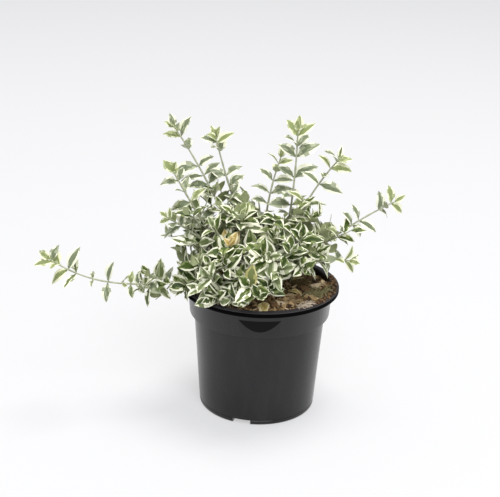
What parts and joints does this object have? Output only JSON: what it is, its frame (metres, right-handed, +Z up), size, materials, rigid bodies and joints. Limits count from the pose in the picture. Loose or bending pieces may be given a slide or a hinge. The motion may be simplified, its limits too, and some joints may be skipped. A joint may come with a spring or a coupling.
{
  "type": "potted wintercreeper plant",
  "caption": "Variegated wintercreeper in a round black nursery pot: a low leafy mound with upright shoots and one long trailing shoot.",
  "frame": {"origin": "centre of the pot's flat underside", "axes": "+Z up out of the pot, +X to the right of somebody facing the pot's label recess, +Y away from them"},
  "size_m": [0.3811, 0.2116, 0.3235],
  "materials": {
    "pot": "semi-gloss moulded black",
    "mix": "rough bark chips and fibres",
    "bark": "matt greyish green",
    "foliage": "satin, green edged with cream",
    "shoot": "satin, yellowish young green"
  },
  "bodies": {
    "root": {"bough_left_side": "bark", "bough_left_trailer": "bark", "bough_left_upper_side": "bark", "bough_low_tuft_1": "bark", "bough_low_tuft_2": "bark", "bough_low_tuft_3": "bark", "bough_low_tuft_4": "bark", "bough_middle_tuft_1": "bark", "bough_middle_tuft_2": "bark", "bough_middle_tuft_3": "bark", "bough_middle_tuft_4": "bark", "bough_middle_tuft_5": "bark", "bough_middle_tuft_6": "bark", "bough_middle_tuft_7": "bark", "bough_right_arm": "bark", "bough_right_low": "bark", "bough_rim_tuft_1": "bark", "bough_rim_tuft_2": "bark", "bough_rim_tuft_3": "bark", "bough_top_leader": "bark", "bough_top_left": "bark", "bough_top_right": "bark", "bough_top_tuft_1": "bark", "bough_top_tuft_2": "bark", "bough_top_tuft_3": "bark", "bough_upper_left_inner": "bark", "bough_upper_left_outer": "bark", "foliage_left_side": "shoot", "foliage_left_trailer": "shoot", "foliage_left_upper_side": "shoot", "foliage_low_tuft_1": "foliage", "foliage_low_tuft_2": "foliage", "foliage_low_tuft_3": "foliage", "foliage_low_tuft_4": "foliage", "foliage_middle_tuft_1": "foliage", "foliage_middle_tuft_2": "foliage", "foliage_middle_tuft_3": "foliage", "foliage_middle_tuft_4": "foliage", "foliage_middle_tuft_5": "foliage", "foliage_middle_tuft_6": "foliage", "foliage_middle_tuft_7": "foliage", "foliage_right_arm": "shoot", "foliage_right_low": "shoot", "foliage_rim_tuft_1": "foliage", "foliage_rim_tuft_2": "foliage", "foliage_rim_tuft_3": "foliage", "foliage_top_leader": "shoot", "foliage_top_left": "shoot", "foliage_top_right": "shoot", "foliage_top_tuft_1": "foliage", "foliage_top_tuft_2": "foliage", "foliage_top_tuft_3": "foliage", "foliage_upper_left_inner": "shoot", "foliage_upper_left_outer": "shoot", "pot": "pot", "potting_mix": "mix", "stem_back": "bark", "stem_left": "bark", "stem_right": "bark"}
  },
  "joints": []
}
